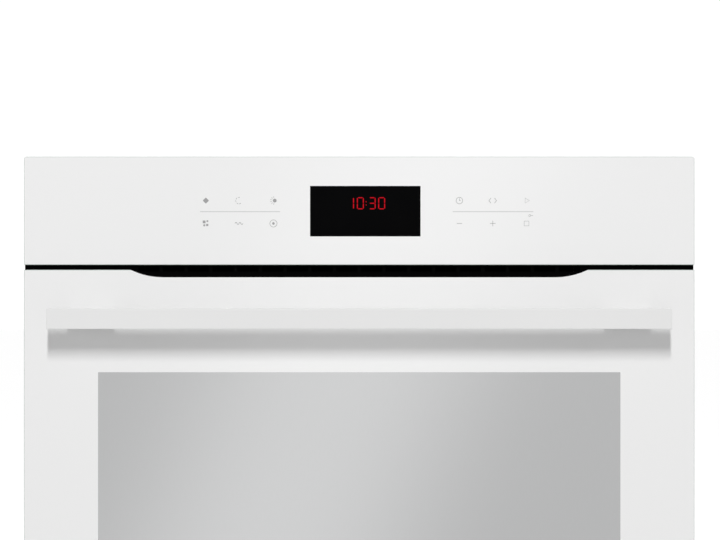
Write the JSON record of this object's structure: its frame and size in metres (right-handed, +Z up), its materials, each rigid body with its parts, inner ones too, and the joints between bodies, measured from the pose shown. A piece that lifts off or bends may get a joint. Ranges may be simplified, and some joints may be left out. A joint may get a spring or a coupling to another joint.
{
  "type": "wall oven",
  "caption": "Built-in oven with a white glass front, drop-down door with flat bar handle, touch panel with display, convection fan, telescopic tray runners and wire shelf.",
  "frame": {"origin": "middle of the casing's underside, in width and in casing depth, where it rests on the cabinet shelf", "axes": "+X to the right seen from the front, +Y towards the back of the cabinet, +Z up; the front faces -Y"},
  "size_m": [0.595, 0.617, 0.603],
  "materials": {
    "galvanised_steel": "dull zinc",
    "zinc_screw": "bright zinc",
    "frame_enamel": "satin grey enamel",
    "cavity_enamel": "gloss dark enamel",
    "tray_enamel": "gloss dark enamel",
    "seal_rubber": "matt",
    "mineral_wool": "fibrous",
    "chromed_wire": "bright",
    "heater_steel": "dark oxidised",
    "motor_iron": "laminated",
    "fan_aluminium": "mill",
    "shaft_steel": "turned",
    "ceramic_white": "unglazed",
    "clear_glass": "clear",
    "white_glass": "white back print under clear glass",
    "black_plastic": "fine grain",
    "grey_plastic": "fine grain",
    "circuit_board": "solder mask",
    "loom_rubber": "matt",
    "column_aluminium": "anodised satin",
    "handle_paint": "satin white"
  },
  "bodies": {
    "oven": {"casing_base": "galvanised_steel", "casing_left": "galvanised_steel", "casing_right": "galvanised_steel", "casing_back": "galvanised_steel", "casing_top": "galvanised_steel", "sheet_metal_screws": "zinc_screw", "front_frame": "frame_enamel", "cavity_liner": "cavity_enamel", "door_gasket": "seal_rubber", "insulation_blanket": "mineral_wool", "flue_pipe": "galvanised_steel", "side_rack_left": "chromed_wire", "side_rack_right": "chromed_wire", "runner_outer_rails": "chromed_wire", "fan_cover": "cavity_enamel", "ring_element": "heater_steel", "grill_element": "heater_steel", "bottom_element": "heater_steel", "fan_motor_stator": "motor_iron", "fan_motor_bracket": "galvanised_steel", "lamp_holder": "ceramic_white", "lamp_bulb": "clear_glass", "lamp_lens": "clear_glass", "temperature_probe": "shaft_steel", "blower_housing": "black_plastic", "blower_motor": "motor_iron", "outlet_duct": "black_plastic", "vent_strip": "black_plastic", "control_glass": "white_glass", "control_carrier": "grey_plastic", "touch_board": "circuit_board", "display_module": "black_plastic", "power_board": "circuit_board", "terminal_block": "grey_plastic", "cable_gland": "black_plastic", "hinge_arms": "galvanised_steel", "hinge_receptacles": "galvanised_steel", "wiring_loom": "loom_rubber"},
    "door": {"door_outer_glass": "white_glass", "door_middle_glass": "clear_glass", "door_inner_glass": "clear_glass", "door_column_left": "column_aluminium", "door_column_right": "column_aluminium", "door_top_trim": "black_plastic", "door_bottom_rail": "column_aluminium", "pane_clips": "black_plastic", "handle_bar": "handle_paint", "handle_posts": "handle_paint", "handle_screws": "zinc_screw", "hinge_channels": "galvanised_steel", "hinge_pins": "shaft_steel"},
    "hinge_rods": {"hinge_rods": "shaft_steel", "hinge_springs": "shaft_steel"},
    "fan": {"convection_fan": "fan_aluminium", "fan_shaft": "shaft_steel"},
    "blower": {"blower_rotor": "fan_aluminium"},
    "runner_middle": {"runner_middle_rails": "chromed_wire"},
    "tray": {"runner_inner_rails": "chromed_wire", "baking_tray": "tray_enamel"},
    "shelf": {"wire_shelf": "chromed_wire"}
  },
  "joints": [
    {"name": "door_hinge", "type": "hinge", "parent": "oven", "child": "door", "pos_m": [0, -0.2825, 0.017], "axis": [1, 0, 0], "range_deg": [0, 90], "stiffness_Nm_per_rad": 6, "springref_deg": -20.05},
    {"name": "hinge_rod_slide", "type": "slide", "parent": "door", "child": "hinge_rods", "axis": [0, 0, -1], "range_m": [0, 0.012], "deforming": ["hinge_springs"]},
    {"name": "tray_slide", "type": "slide", "parent": "oven", "child": "tray", "axis": [0, -1, 0], "range_m": [0, 0.27]},
    {"name": "runner_middle_slide", "type": "slide", "parent": "oven", "child": "runner_middle", "axis": [0, -1, 0], "range_m": [0, 0.135]},
    {"name": "shelf_slide", "type": "slide", "parent": "oven", "child": "shelf", "axis": [0, -1, 0], "range_m": [0, 0.22]},
    {"name": "fan_spin", "type": "hinge", "parent": "oven", "child": "fan", "pos_m": [0, 0.16, 0.2635], "axis": [0, 1, 0], "continuous": true},
    {"name": "blower_spin", "type": "hinge", "parent": "oven", "child": "blower", "pos_m": [0, -0.0575, 0.541], "axis": [1, 0, 0], "continuous": true}
  ],
  "couplings": [
    {"joint": "hinge_rod_slide", "follows": "door_hinge", "m_per_rad": 0.007639},
    {"joint": "tray_slide", "follows": "door_hinge", "m_per_rad": 0.1718},
    {"joint": "runner_middle_slide", "follows": "door_hinge", "m_per_rad": 0.0859},
    {"joint": "shelf_slide", "follows": "door_hinge", "m_per_rad": 0.14}
  ]
}
